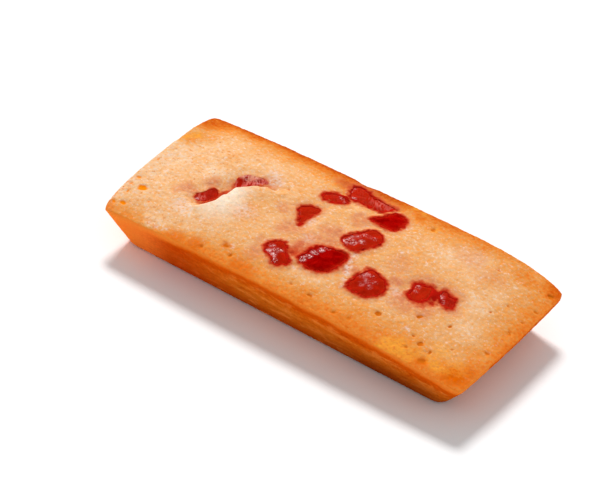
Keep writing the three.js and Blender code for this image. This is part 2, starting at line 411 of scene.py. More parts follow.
crumbColours = {
    "fleck": seen(254, 228, 210),
    "gap": seen(230, 142, 70),
    "rim": seen(238, 138, 56),
    "paleStreak": seen(208, 116, 46),
    "darkStreak": seen(160, 54, 4),
    # painted shade along the middle of the near side
    "ruddy": seen(172, 52, 2),
    # painted shadow at the foot of the near side
    "foot": seen(116, 42, 5),
    # painted light on the left end of the near side
    "sideGlow": seen(228, 116, 42),
    "toffee": seen(227, 101, 1),
    "honey": seen(253, 168, 60),
    "blush": seen(222, 132, 90),
    # pale crumb and a painted highlight on the lip
    "lip": seen(254, 237, 214),
    # pale crumb, and painted highlights on the rims of pockets by the fruit
    "pale": seen(246, 214, 198),
    "lightPit": seen(248, 136, 12),
    "darkPit": seen(209, 105, 18),
    "thinJuice": seen(216, 92, 52),
    "thickJuice": seen(176, 22, 11),
}


# The colours of the top, from unbrowned to most browned
def bakedRamp(start, bake):
    stops = [
        (0.00, seen(255, 222, 188)),
        (0.10, seen(252, 206, 162)),
        (0.20, seen(249, 193, 139)),
        (0.30, seen(244, 181, 120)),
        (0.40, seen(242, 170, 101)),
        (0.50, seen(241, 159, 82)),
        (0.60, seen(241, 147, 63)),
        (0.70, seen(237, 132, 47)),
        (0.80, seen(231, 118, 35)),
        (0.90, seen(222, 104, 26)),
        (1.00, seen(206, 86, 18)),
    ]
    return start.node("ShaderNodeValToRGB", {"stops": stops}, {"Fac": bake})


# The colours of the side, from the rim down to the foot: a bright band under the rim, partly painted light,
# then a darker line, partly painted shadow under the rim's lip, and darker towards the foot
def sideRamp(start, drop):
    stops = [
        (0.00, seen(224, 128, 48)),
        (0.05, seen(210, 110, 36)),
        (0.09, seen(194, 86, 14)),
        (0.13, seen(182, 68, 2)),
        (0.25, seen(183, 72, 3)),
        (0.42, seen(187, 89, 14)),
        (0.58, seen(182, 90, 17)),
        (0.78, seen(174, 82, 12)),
        (1.00, seen(150, 57, 3)),
    ]
    return start.node("ShaderNodeValToRGB", {"stops": stops}, {"Fac": drop / crumb["sideHeight"]})


# The top: browned unevenly, with pale flecks, golden gaps between the grains and darker patches at the rim
def crumbTop(start, place, x, speckle, fleck, patchy):
    mottle = noise(start, place, size=4.5, detail=4.0, rough=0.6, seed=3.0) - 0.5
    grain = readAttribute(start, "grain")
    bake = readAttribute(start, "bake")
    uneven = mottle * crumb["mottle"] + speckle * crumb["speckle"] - grain * crumb["grain"]
    top = bakedRamp(start, bake + uneven)
    gaps = 0.45 + 0.35 * x.ease(*crumb["strongGaps"])
    rim = readAttribute(start, "rim") * patchy.ease(0.48, 0.6)
    top = (fleck.ease(0.54, 0.7) * bake.ease(0.8, 0.2) * 0.6).blend(top, crumbColours["fleck"])
    top = (fleck.ease(0.44, 0.3) * gaps).blend(top, crumbColours["gap"])
    return rim.blend(top, crumbColours["rim"])


# The side: by how far below the rim, streaked lengthwise
def crumbSide(start, place, speckle):
    sockets = {"Vector": place, "Scale": (3.0, 1.0, 1.0)}
    lengthwise = start.node("ShaderNodeMapping", {"vector_type": "TEXTURE"}, sockets)
    streak = noise(start, lengthwise, size=1.3, detail=4.0, rough=0.65, seed=6.0)
    drop = readAttribute(start, "drop")
    swayed = drop + ((streak - 0.5) * 3.0 + speckle * 2.0) * drop.ease(0.0, 2.0)
    flank = sideRamp(start, swayed)
    below = drop.ease(1.0, 2.5)
    flank = (streak.ease(0.49, 0.62) * below * 0.55).blend(flank, crumbColours["paleStreak"])
    flank = (streak.ease(0.48, 0.36) * below * 0.5).blend(flank, crumbColours["darkStreak"])
    # painted shade along the near side, a painted shadow at its foot and painted light on its left end
    for name in ("ruddy", "foot", "sideGlow"):
        flank = readAttribute(start, name).blend(flank, crumbColours[name])
    return flank


def makeCrumbMaterial():
    made, start = newMaterial("bakedCrumb")
    place = placeInMillimetres(start)
    x = start.node("ShaderNodeSeparateXYZ", {}, {"Vector": place}).out("X")
    speckle = noise(start, place, size=0.6, detail=2.0, rough=0.6, seed=11.0) - 0.5
    fleck = noise(start, place, size=0.6, detail=2.0, rough=0.55, seed=21.0)
    patchy = noise(start, place, size=1.0, detail=3.0, rough=0.65, seed=7.0)
    top = crumbTop(start, place, x, speckle, fleck, patchy)
    flank = crumbSide(start, place, speckle)
    side = readAttribute(start, "side")
    border = side + (patchy - 0.5) * side * (1 - side) * crumb["borderWaver"]
    skin = border.blend(top, flank)

    # caramel spots, and pink and paler crumb on the lip and by the fruit, partly painted highlights there,
    # each in a pattern of its own
    patterns = {
        "toffee": patchy.ease(0.1, 0.5),
        "honey": fleck.ease(0.3, 0.52),
        "blush": patchy.ease(0.15, 0.6),
        "lip": patchy.ease(0.1, 0.55),
        "pale": fleck.ease(0.34, 0.6),
    }
    for name, pattern in patterns.items():
        skin = (readAttribute(start, name) * pattern).blend(skin, crumbColours[name])

    # golden pits and pores, and red juice where fruit touches
    hole = readAttribute(start, "hole").ease(0.12, 0.8)
    pit = x.ease(*crumb["darkPits"]).blend(crumbColours["lightPit"], crumbColours["darkPit"])
    skin = hole.blend(skin, pit)
    juice = readAttribute(start, "juice")
    soaked = juice + (patchy - 0.5) * 0.7 * juice.ease(0.0, 0.4)
    skin = soaked.ease(0.0, 0.6).blend(skin, crumbColours["thinJuice"])
    skin = soaked.ease(0.45, 0.9).blend(skin, crumbColours["thickJuice"])
    # painted light: divided by the light expected there, and by a little less in the pits so that their
    # shade is cancelled; the speckle varies it at random
    skin = paintOutLight(start, skin, readAttribute(start, "lit") * (1 - 0.1 * hole - 0.5 * speckle))

    height = speckle + noise(start, place, size=0.9, detail=2.0, rough=0.5, seed=5.0)
    bump = start.node("ShaderNodeBump", {}, {"Strength": 0.8, "Distance": 0.15 * mm, "Height": height})
    fixed = {
        "Specular IOR Level": 0.0,
        "Subsurface Weight": 0.1,
        "Subsurface Radius": (1.0, 0.5, 0.2),
        "Subsurface Scale": 0.8 * mm,
    }
    finishMaterial(start, fixed, {"Base Color": skin, "Roughness": 0.55 + 0.3 * patchy, "Normal": bump})
    return made


fruitColours = {
    "darkPulp": seen(150, 1, 0),
    "brightPulp": seen(182, 8, 4),
    "warm": seen(202, 48, 18),
    # painted glow of light through the thin edge of the flesh
    "border": seen(204, 46, 20),
    "film": seen(230, 110, 96),
    "veil": seen(240, 164, 134),
    "darkThread": seen(140, 16, 14),
    "paintedGlint": seen(252, 204, 196),
}


def makeFruitMaterial():
    made, start = newMaterial("jammyFruit")
    place = placeInMillimetres(start)
    pulp = noise(start, place, size=2.2, detail=3.0, rough=0.6, seed=2.0, bend=0.6)
    skin = pulp.ease(0.35, 0.68).blend(fruitColours["darkPulp"], fruitColours["brightPulp"])
    skin = readAttribute(start, "warm").blend(skin, fruitColours["warm"])
    fibre = noise(start, place, size=0.45, detail=2.0, rough=0.5, seed=4.0)
    # a brighter orange-red round the edge: painted glow of light through the thin flesh
    border = readAttribute(start, "border") * fibre.ease(0.2, 0.6)
    skin = (border * 0.4).blend(skin, fruitColours["border"])

    # crumb that lies over the flesh in streaks
    sockets = {"Vector": place, "Rotation": (0, 0, math.radians(25)), "Scale": (0.45, 2.0, 1.2)}
    slanted = start.node("ShaderNodeMapping", {"vector_type": "TEXTURE"}, sockets)
    streaks = noise(start, slanted, size=1.0, detail=3.0, rough=0.6, seed=8.0)
    film = readAttribute(start, "film") * streaks.ease(0.42, 0.53)
    veil = readAttribute(start, "veil") * streaks.ease(0.36, 0.54)
    skin = film.blend(skin, fruitColours["film"])
    skin = veil.blend(skin, fruitColours["veil"])

    # wet, crinkled skin: painted highlights as pale threads, on a darker red
    wet = readAttribute(start, "crinkle")
    thread = noise(start, place, size=0.5, detail=2.0, rough=0.6, seed=14.0, bend=1.5)
    skin = (wet * thread.ease(0.5, 0.42) * 0.6).blend(skin, fruitColours["darkThread"])
    skin = (wet * thread.ease(0.55, 0.61)).blend(skin, fruitColours["paintedGlint"])
    skin = paintOutLight(start, skin, readAttribute(start, "lit"))

    sockets = {"Strength": 0.25, "Distance": 0.15 * mm, "Height": fibre + thread}
    bump = start.node("ShaderNodeBump", {}, sockets)
    fixed = {
        "Specular IOR Level": 0.0,
        "Coat Roughness": 0.25,
        "Coat IOR": 1.45,
        "Subsurface Weight": 0.2,
        "Subsurface Radius": (1.0, 0.06, 0.04),
        "Subsurface Scale": 1.0 * mm,
    }
    varied = {"Base Color": skin, "Roughness": 0.3 + 0.4 * film, "Coat Weight": 0.4 * wet, "Normal": bump}
    finishMaterial(start, fixed, varied)
    return made


# The split in the top, which stands up as a lip beside a crack
split = {
    "crest": [(-27.6, -11.4), (-24.7, -7.4), (-23.6, -2.0), (-20.6, 2.2), (-16.6, 6.0)],
    # pale crumb and a painted highlight on the lip
    "pale": [0.95, 1.0, 0.85, 0.0, 0.0],  # at each point of the crest: how pale the lip is
    "paleWidth": [7.5, 7.5, 5.5, 4.0, 4.0],  # and how far from the crest
    # juice stain and painted shadow of the crack, behind the crest
    "stainAndShade": [0.9, 0.8, 0.6, 0.7, 0.4],  # how strongly juice has stained the crumb behind it
    "run": [2.4, 4.4, 2.9, 3.2, 2.0],  # and how far it has run
    "drift": {"size": 1.6, "amount": 0.3},
    "lipWidth": 4.2,
    "lipRise": 0.2,
    "crackWidth": 1.2,
    "crackDepth": 0.4,
    "behind": (-3.5, -5.5),  # from here past the crest, the crumb laps over the fruit in the split
}


# A smooth curve through the points of the crest, as close points
def crestPath():
    points = np.array(split["crest"])
    steps = 24
    ends = np.vstack([2 * points[0] - points[1], points, 2 * points[-1] - points[-2]])
    path = []
    for index in range(1, len(ends) - 2):
        before, here, there, after = ends[index - 1:index + 3]
        slopeHere, slopeThere = (there - before) / 2, (after - here) / 2
        for step in range(steps):
            share = step / steps
            cube, square = share ** 3, share ** 2
            path.append(
                (2 * cube - 3 * square + 1) * here + (cube - 2 * square + share) * slopeHere
                + (3 * square - 2 * cube) * there + (cube - square) * slopeThere
            )
    return np.array(path + [points[-1]])


# Distance past the crest of the split, positive on the side of the lip, and the share along it
def acrossCrest(co):
    path = crestPath()
    nearest = np.full(len(co), np.inf)
    along = np.zeros(len(co))
    side = np.zeros(len(co))
    for index in range(len(path) - 1):
        toward = path[index + 1] - path[index]
        offset = co[:, :2] - path[index]
        away = np.hypot(offset[:, 0], offset[:, 1])
        turn = toward[0] * offset[:, 1] - toward[1] * offset[:, 0]
        closer = away < nearest
        nearest = np.where(closer, away, nearest)
        along = np.where(closer, index / (len(path) - 1), along)
        side = np.where(closer, np.where(turn < 0, 1.0, -1.0), side)
    return nearest * side, along


# How a piece of fruit looks and sits in the crumb, apart from what its own entry below says
plainTrace = {
    "juice": 1.15,  # how strongly it stains the crumb red
    "soak": 1.2,  # and how far
    "blush": 0.8,  # how strongly it stains the crumb pink
    "reach": 2.4,  # and how far
    "film": 0.0,  # how much crumb lies over it in streaks
    "lap": 0.0,  # how far the crumb behind the split laps over it
    "ragged": 0.3,  # how unevenly the crumb laps over its edge
    "warm": 0.4,  # how orange its red is
    "fold": 0.8,  # how deep its folds are
    "crinkles": [],  # spots where its skin is crinkled
    "films": [],  # spots with more crumb over it
    "bare": [],  # spots with less
    "covers": [],  # spots where the crumb laps further over its edge
}

ownTraces = {
    "fruit_01": {
        "soak": 0.7, "blush": 0.4, "reach": 2.2, "film": 0.05, "lap": 0.9, "ragged": 0.25, "warm": 0.3,
        "crinkles": [(-28.5, -8.4, 1.3, 1.0), (-27.4, -8.6, 1.0, 0.6)],
        "films": [(-28.2, -6.8, 1.3, 0.8), (-29.2, -8.2, 0.8, 0.6)],
    },
    "fruit_02": {
        "juice": 0.7, "soak": 1.0, "blush": 1.0, "reach": 3.0, "film": 0.9, "lap": 1.6, "warm": 0.3,
        "crinkles": [(-24.3, 4.4, 1.4, 0.5), (-22.2, 5.6, 1.5, 0.5)],
        "bare": [(-25.2, 3.2, 1.6, 1.0)],
        "covers": [(-20.2, 6.4, 1.6, 0.6)],
    },
    "fruit_03": {
        "juice": 1.1, "soak": 1.1, "blush": 0.9, "warm": 0.5, "fold": 0.5,
        "crinkles": [(-10.4, 1.4, 0.9, 0.5), (-9.0, -0.9, 0.9, 0.5)],
    },
    "fruit_04": {
        "soak": 1.4, "blush": 0.7, "film": 0.05, "ragged": 0.5,
        "crinkles": [(-6.0, 11.8, 0.9, 0.9), (-4.6, 10.8, 0.8, 0.8)],
    },
    "fruit_05": {
        "soak": 1.6, "reach": 2.6, "film": 0.05, "ragged": 0.6, "warm": 0.5,
        "crinkles": [
            (-5.4, 12.9, 1.1, 1.0), (-4.4, 13.5, 1.1, 0.9), (-6.5, 16.2, 1.0, 0.8), (-6.5, 17.5, 0.9, 0.8),
        ],
        "films": [(0.6, 16.1, 2.6, 0.6), (-1.4, 16.0, 1.8, 0.3), (2.6, 16.1, 1.6, 0.5)],
    },
    "fruit_06": {
        "soak": 1.1, "reach": 2.2, "warm": 0, "fold": 0.2,
    },
    "fruit_07": {
        "soak": 1.1, "warm": 0.5, "fold": 0.6,
        "crinkles": [
            (2.2, -1.2, 1.1, 0.9), (2.2, 0.2, 1.1, 0.9), (2.6, 1.6, 1.0, 0.7), (3.6, 0.5, 1.1, 0.8),
            (3.4, 2.8, 1.0, 0.6), (5.0, 1.8, 1.1, 0.6), (4.2, 4.0, 1.0, 0.6), (5.4, 4.2, 1.0, 0.6),
            (6.4, 4.3, 0.9, 0.5),
        ],
    },
    "fruit_08": {
        "blush": 0.9, "ragged": 0.4, "fold": 0.6,
        "crinkles": [
            (-8.4, -11.0, 0.9, 0.6), (-8.1, -12.8, 0.9, 0.6), (-6.9, -11.9, 1.1, 0.9),
            (-6.2, -11.2, 0.9, 0.8), (-6.8, -13.5, 1.1, 0.9), (-5.7, -14.7, 1.1, 0.9),
        ],
    },
    "fruit_09": {
        "soak": 1.3, "blush": 0.9, "reach": 2.8, "warm": 0, "fold": 0.3,
        "crinkles": [
            (-2.1, -11.5, 1.1, 0.9), (-1.6, -10.4, 1.1, 0.8), (-1.0, -9.0, 1.1, 0.8), (-0.6, -7.4, 1.1, 0.8),
            (0.0, -5.9, 1.0, 0.9), (0.6, -4.5, 1.0, 0.8), (1.1, -3.3, 0.8, 0.7),
        ],
    },
    "fruit_10": {
        "fold": 0.6,
        "crinkles": [
            (10.4, -7.0, 1.1, 0.3), (10.9, -5.9, 1.0, 0.4), (12.0, -5.6, 1.0, 0.4), (12.0, -7.6, 1.2, 0.3),
            (11.5, -9.0, 1.0, 0.2), (13.3, -7.0, 1.1, 0.4), (13.2, -8.8, 1.0, 0.3),
        ],
        "covers": [(9.8, -5.4, 2.0, 0.4)],
    },
    "fruit_11": {
        "soak": 1.8, "blush": 1.1, "reach": 3.4, "warm": 0.6,
        "crinkles": [(20.4, -1.7, 0.9, 0.6), (20.9, -3.2, 0.7, 0.4)],
        "covers": [(18.6, -3.2, 1.6, 0.8)],
    },
    "fruit_12": {
        "soak": 1.3, "blush": 1.2, "reach": 3.4, "film": 0.05, "ragged": 0.25, "warm": 0.3,
        "crinkles": [(24.4, 0.3, 0.9, 1.0), (25.4, -0.9, 1.1, 1.0), (26.3, -2.0, 1.0, 0.8)],
        "covers": [(31.0, 0.2, 3.0, 1.6)],
    },
}
fruitTraces = {name: {**plainTrace, **own} for name, own in ownTraces.items()}

fruitShape = {
    "voxel": 0.18 * mm,
    "softRounds": 2,
    "upright": 0.35,  # a normal's greatest rise or fall on the outline
    "edgeGlowWidth": 1.1,
    "veilFrom": -3.2,  # distance past the crest from which crumb veils the flesh deep in the split
    "veilFull": -4.8,
    "sizes": {
        "Fold Size": 2.4 * mm,
        "Fold Depth": 0.2 * mm,
        "Crinkle Size": 0.6 * mm,
        "Crinkle Depth": 0.6 * mm,
        "Seed": 2.0,
    },
}


def fruitTree(material):
    tree, start = geometryTree("fruitRelief", fruitShape["sizes"])
    size = start.out
    folds = sizedNoise(start, size("Fold Size"), size("Seed"), bend=0.5) * size("Fold Depth")
    crinkles = sizedNoise(start, size("Crinkle Size"), size("Seed") + 5.0, bend=0.8) * size("Crinkle Depth")
    rise = (folds * named(start, "fold") + crinkles * named(start, "crinkle")) * named(start, "shown")
    endTree(start, pushOut(start, start.out("Geometry"), rise), material)
    return tree


# The upright part of a piece's surface, seen from above, as a tree for finding the distance to it
def outlineOf(co, normal):
    upright = np.flatnonzero(np.abs(normal[:, 2]) < fruitShape["upright"])
    tree = KDTree(len(upright))
    for index in upright:
        tree.insert((co[index, 0], co[index, 1], 0), int(index))
    tree.balance()
    return tree


# What the relief and the material read at each point of a piece of fruit
def fruitMarks(co, normal, outline, trace):
    inward = np.array([outline.find((x, y, 0))[2] for x, y, z in co])
    film = trace["film"] * (1 - spots(co, trace["bare"]))
    past = acrossCrest(co)[0]
    deep = smoothRamp(past, fruitShape["veilFrom"], fruitShape["veilFull"]) * (trace["lap"] > 0)
    return {
        "shown": smoothRamp(normal[:, 2], -0.2, 0.5) * smoothRamp(inward, 0.0, 0.6),
        "fold": np.full(len(co), trace["fold"]),
        "warm": np.full(len(co), trace["warm"]),
        "film": np.maximum(film, spots(co, trace["films"])),
        "veil": film * deep,
        "lit": np.full(len(co), light["onTop"]),
        "crinkle": spots(co, trace["crinkles"]),
        # painted glow of light through the thin edge
        "border": smoothRamp(inward, fruitShape["edgeGlowWidth"], 0.1),
    }


# Returns the surface and the outline of each piece, which the crumb is laid against
def makeFruit(material):
    tree = fruitTree(material)
    pieces = {}
    faces = 0
    for name, trace in fruitTraces.items():
        piece = copyOfNode(name, name + "_flesh")
        remesh(piece, fruitShape["voxel"], fruitShape["softRounds"])
        co = vertexArray(piece, "co") / mm
        normal = vertexArray(piece, "normal")
        outline = outlineOf(co, normal)
        pieces[name] = (surfaceOf(piece), outline)
        setAttributes(piece, fruitMarks(co, normal, outline, trace))
        runTree(piece, tree, fruitShape["sizes"])
        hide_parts(name)
        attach(piece, "root")
        faces += len(piece.data.polygons)
    print("fruit:", faces, "faces")
    return pieces


# How brown the top is, by the distance in from each edge: most at the edge, none at the reach.
# Along the near and the far edge it changes from the left to the right.
browning = {
    "least": {"x": [-43, -37, -30, 10], "amount": [0.10, 0.21, 0.26, 0.34]},  # away from the edges
    "drift": {"size": 8.0, "amount": 1.2},  # so that no border is straight
    "far": {"reach": 9.5, "bend": 1.7},
    "farMost": {"x": [-15, 10, 30], "amount": [0.82, 0.63, 0.3]},
    "right": {"most": 0.42, "reach": 10.0, "bend": 1.8},
    "left": {"most": 0.05, "reach": 4.0, "bend": 1.0},
    "near": {"most": 0.46, "bend": 1.3},
    "nearReach": {"x": [-43, -36, -33, -31, -23, -17, 0, 30], "amount": [4, 7, 2, 1, 5, 8, 8.5, 10]},
    # spots that are browner, at the corners and near the edges
    "browner": [
        (43, 21, 9.5, 0.6), (-43, 21, 13, 0.82), (43, -21, 6, 0.3), (-43, -21, 4, 0.3), (-41, 9, 4, 0.35),
        (9.4, 17.4, 3.6, 0.45), (-8.4, 17.5, 3.6, 0.6), (35.6, 17.0, 4.5, 0.3), (-38.5, 11.5, 5.0, 0.3),
    ],
    "paler": [
        (24.5, 13.5, 6.0, 0.18), (20.5, 10.5, 5.0, 0.14), (27.0, 10.5, 5.0, 0.12), (33.0, 8.0, 4.5, 0.1),
        (32.5, 2.5, 5.0, 0.14), (34.5, -5.0, 5.0, 0.12), (-27.6, -12.6, 3.4, 0.12), (-31.0, -19.0, 3.4, 0.1),
        (3.4, -14.5, 3.2, 0.12), (-30.2, 1.2, 4.0, 0.12), (-21.0, 9.8, 3.6, 0.1),
    ],
}


# Browning by one edge, which falls off along a curve
def fromEdge(distance, reach, most, bend):
    return most * np.clip(1 - np.maximum(distance, 0) / reach, 0, 1) ** bend


def browned(co):
    moved = co + wandering(co, **browning["drift"])
    x, y = moved[:, 0], moved[:, 1]
    least, farMost, nearReach = (alongLength(x, browning[key]) for key in ("least", "farMost", "nearReach"))
    edges = [
        fromEdge(halfWidth - y, most=farMost, **browning["far"]),
        fromEdge(halfLength - x, **browning["right"]),
        fromEdge(halfLength + x, **browning["left"]),
        fromEdge(halfWidth + y, reach=nearReach, **browning["near"]),
        spots(moved, browning["browner"]),
    ]
    return least + np.max(edges, axis=0) - spots(moved, browning["paler"])


cakeShape = {
    "voxel": 0.29 * mm,
    "softRounds": 2,
    "baseBelow": 0.02 * mm,  # faces below this height are the base
    "plugGrow": 0.45 * mm,  # the crumb closes up to each piece of fruit
    "plugRise": 0.06 * mm,
    "swell": 2.0,  # rises to it from this far away
    "swellMost": 0.8,
    "lapOver": 0.35,  # and laps over its edge by about this much
    "lapRise": 0.04,
    "lapSize": 0.9,
    "crownStep": 0.15,  # the fruit's height is taken this far in from where it shows
    "sink": 0.05,  # under the fruit, the crumb lies this much lower
    "staining": 6.0,  # no piece stains the crumb from further away
    "topFrom": 4.0,  # the top and the pockets in it lie above this height
    "fineDrift": {"size": 0.9, "amount": 0.5},  # what makes the outlines of spots uneven
    "wideDrift": {"size": 4.0, "amount": 2.0},
    "sizes": {
        "Lump Size": 4.0 * mm,
        "Lump Depth": 0.3 * mm,
        "Grain Size": 0.8 * mm,
        "Grain Depth": 0.3 * mm,
        "Pore Spacing": 2.2 * mm,
        "Pore Radius": 0.32 * mm,
        "Pore Depth": 0.22 * mm,
        "Pore Share": 0.3,
        "Pit Depth": 0.25 * mm,
        "Seed": 4.0,
    },
}

# The near side's colours, with painted shade, a painted shadow at its foot and painted light on its left
# end, which change along its length
nearSide = {
    "from": (-10, -14),  # y at which it begins, and from which it is all near side
    "band": {  # height of the bright band under the rim
        "x": [-43, -36, -30, -20, 0, 24, 36, 43],
        "amount": [2.9, 2.5, 2.1, 0.9, 0.7, 1.1, 1.5, 1.7],
    },
    # how strongly shade is painted along the middle of it
    "ruddy": {"x": [-43, -37, -33, -24, -16, -10], "amount": [0.0, 0.4, 0.75, 0.75, 0.35, 0.0]},
    # how dark the painted shadow at its foot is, along its length
    "foot": {"x": [4, 22, 34, 46], "amount": [0.0, 0.9, 0.8, 0.0]},  # how dark its foot is
    "footShadowHeight": 7.5,
    # painted light on its left end: how bright, and where
    "glow": 0.8,  # how bright its left end is
    "lightPoolX": (-25, -35),
    "lightPoolY": (8, -16),
}


def crumbTree(material):
    tree, start = geometryTree("crumbRelief", cakeShape["sizes"])
    size = start.out
    lumps = sizedNoise(start, size("Lump Size"), size("Seed")) * size("Lump Depth")
    grains = sizedNoise(start, size("Grain Size"), size("Seed") + 9.0)
    rise = (lumps + grains * size("Grain Depth")) * named(start, "relief")

    # a pore in some of the cells of a Voronoi pattern
    place = start.node("GeometryNodeInputPosition")
    sockets = {"Vector": place, "W": size("Seed"), "Scale": 1 / size("Pore Spacing")}
    cells = start.node("ShaderNodeTexVoronoi", {"voronoi_dimensions": "4D"}, sockets)
    draw = start.node("FunctionNodeSeparateColor", {}, {"Color": cells.out("Color")})
    chosen = start.math("LESS_THAN", draw.out("Red"), size("Pore Share") * named(start, "porous"))
    radius = size("Pore Radius") * (draw.out("Green") * 0.8 + 0.6)
    pore = (cells.out("Distance") * size("Pore Spacing") / radius).ease(1.0, 0.35) * chosen
    pit = named(start, "pit")
    rise = rise - pore * size("Pore Depth") - pit * size("Pit Depth")
    moved = pushOut(start, start.out("Geometry"), rise)
    moved = keep(start, moved, "hole", pore.most(pit))
    endTree(start, keep(start, moved, "grain", grains), material)
    return tree


# The cake's solid with each pocket closed up to its piece of fruit, and one flat face below
def filledCake():
    work = bmesh.new()
    work.from_mesh(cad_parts["cake"].data)
    for name in fruitTraces:
        low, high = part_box(name)
        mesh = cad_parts[name].data.copy()
        for vert in mesh.vertices:
            arm = vert.co - (low + high) / 2
            arm.z = 0
            vert.co += arm.normalized() * cakeShape["plugGrow"]
            vert.co.z += cakeShape["plugRise"]
        work.from_mesh(mesh)
        bpy.data.meshes.remove(mesh)
    joinCorners(work)
    piece = pieceFrom(work, "cake_crumb")
    remesh(piece, cakeShape["voxel"], cakeShape["softRounds"])

    work = bmesh.new()
    work.from_mesh(piece.data)
    under = [face for face in work.faces if max(vert.co.z for vert in face.verts) < cakeShape["baseBelow"]]
    bmesh.ops.dissolve_faces(work, faces=under, use_verts=True)
    work.to_mesh(piece.data)
    work.free()
    return piece


# Height of the rim beside each point: that of the highest point at the edge, in steps round the cake
def rimHeight(co):
    steps = 90
    edgeShare = 0.965  # of the way out from the middle
    turns = np.arctan2(co[:, 1] / halfWidth, co[:, 0] / halfLength)
    step = ((turns + np.pi) / (2 * np.pi) * steps).astype(int) % steps
    outer = np.maximum(np.abs(co[:, 0]) / halfLength, np.abs(co[:, 1]) / halfWidth) > edgeShare
    heights = np.zeros(steps)
    np.maximum.at(heights, step[outer], co[outer, 2])
    return heights[step]


# The drop below the rim, stretched so that the band under the near rim ends at one value
def bandedDrop(co, drop):
    band = alongLength(co[:, 0], nearSide["band"])
    band = np.where(co[:, 1] < nearSide["from"][0], band, crumb["bandHeight"])
    below = np.maximum(drop - band, 0)
    return np.minimum(drop / band, 1) * crumb["bandHeight"] + below


# Height of a surface at a place in millimetres, met from below or from above
def heightAt(surface, place, above=False):
    overAll = 20  # above all of the cake
    start = Vector((place.x, place.y, overAll if above else 0)) * mm
    hit = surface.ray_cast(start, Vector((0, 0, -1 if above else 1)))[0]
    return hit.z / mm if hit else None


# Lays the crumb under each piece of fruit, but for its edge: there it swells up to the piece and laps
# over it unevenly. Returns how much juice and blush each point has, and which points lie under a piece.
def meetFruit(piece, co, past, side, pieces):
    juice = np.zeros(len(co))
    blush = np.zeros(len(co))
    under = np.zeros(len(co))
    ground = surfaceOf(piece)
    margin = cakeShape["staining"]
    swell = cakeShape["swell"]
    behind = smoothRamp(past, *split["behind"])
    onTop = (side < 0.1) & (co[:, 2] > cakeShape["topFrom"])
    for name, (surface, outline) in pieces.items():
        trace = fruitTraces[name]
        low, high = (np.array(corner)[:2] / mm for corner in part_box(name))
        close = np.all((co[:, :2] > low - margin) & (co[:, :2] < high + margin), axis=1) & onTop
        cover = spots(co, trace["covers"]) + trace["lap"] * behind
        for index in np.flatnonzero(close):
            here = Vector((co[index, 0], co[index, 1], 0))
            bottom = heightAt(surface, here)
            edge, _, aside = outline.find(here)
            outward = (here - edge).normalized()
            if bottom:
                aside, outward = -aside, -outward
            wave = softNoise.noise(here / cakeShape["lapSize"])
            lap = cakeShape["lapOver"] + trace["ragged"] * wave + cover[index]
            gap = max(aside + lap, 0.0)  # from where the fruit shows
            juice[index] = max(juice[index], trace["juice"] * (1 - min(gap / trace["soak"], 1)))
            blush[index] = max(blush[index], trace["blush"] * (1 - min(gap / trace["reach"], 1)))
            if bottom and gap == 0:
                under[index] = 1
                co[index, 2] = bottom - cakeShape["sink"]
            elif gap < swell and not trace["lap"]:
                crown = heightAt(surface, here - outward * (gap + cakeShape["crownStep"]), above=True)
                beyond = heightAt(ground, here + outward * (swell - gap), above=True)
                if crown and beyond and abs(crown - beyond) < cakeShape["swellMost"]:
                    share = smoothRamp(gap, 0, swell)
                    co[index, 2] = (crown + cakeShape["lapRise"]) * (1 - share) + beyond * share
    return juice, blush, under


# The split's marks at each point: the distance past its crest, its lip and crack, and the juice stain and
# painted shadow of the crack behind it
def splitMarks(co):
    past, along = acrossCrest(co + wandering(co, **split["drift"]))
    places = np.linspace(0, 1, len(split["crest"]))
    pale, paleWidth, stainAndShade, run = (
        np.interp(along, places, split[key]) for key in ("pale", "paleWidth", "stainAndShade", "run")
    )
    fade = np.sin(np.pi * np.clip(along, 0, 1)) ** 0.5  # to nothing at both ends
    lipWidth = split["lipWidth"]
    # the lip's pale crumb and painted highlight
    paleLip = smoothRamp(past, paleWidth, 1.0) * smoothRamp(past, -0.4, 0.2) * fade
    stainAndShade = stainAndShade * smoothRamp(past / run, -1.0, -0.7) * smoothRamp(past, -0.3, -1.8)
    return {
        "past": past,
        "lip": smoothRamp(past, lipWidth, 0.5) * smoothRamp(past, -0.4, 0.2) * fade,
        "onLip": smoothRamp(past, lipWidth + 1, lipWidth - 1) * (past > 0) * fade,
        "paleLip": paleLip,
        "pale": paleLip * pale,
        "crack": smoothRamp(past, -split["crackWidth"], -0.5) * smoothRamp(past, 0.0, -0.5) * fade,
        "stainAndShade": stainAndShade * smoothRamp(along, 0.03, 0.12) * fade,
    }


# The light expected on the top, and on the rim, the lip and the sides by the way they face. The colours are
# divided by it, which is painted light: what faces away from the key light is painted brighter, and the lip
# a little more.
def lightOn(normal, inward, side, paleLip):
    keyShare = normal @ np.array(Vector(light["keyFrom"]).normalized())
    facing = light["onSide"] + light["fromKey"] * np.maximum(keyShare, 0)
    turned = np.max([side, paleLip, smoothRamp(inward, 7.0, 0.8)], axis=0)
    return light["onTop"] + (facing - light["onTop"]) * turned - 0.1 * paleLip


# What the material reads on the near side
def nearSideMarks(co, drop, inward, side):
    x, y, z = co.T
    near = smoothRamp(y, *nearSide["from"])
    # painted light on the near side's left end
    glow = smoothRamp(x, *nearSide["lightPoolX"]) * smoothRamp(y, *nearSide["lightPoolY"])
    return {
        "drop": bandedDrop(co, drop),
        "rim": near * smoothRamp(inward, 2.6, 0.2) * (1 - side),
        # painted shade
        "ruddy": near * alongLength(x, nearSide["ruddy"]) * smoothRamp(drop, 1.0, 2.8),
        # painted shadow at the foot
        "foot": near * alongLength(x, nearSide["foot"]) * smoothRamp(z, nearSide["footShadowHeight"], 0.5),
        "sideGlow": nearSide["glow"] * glow,
    }


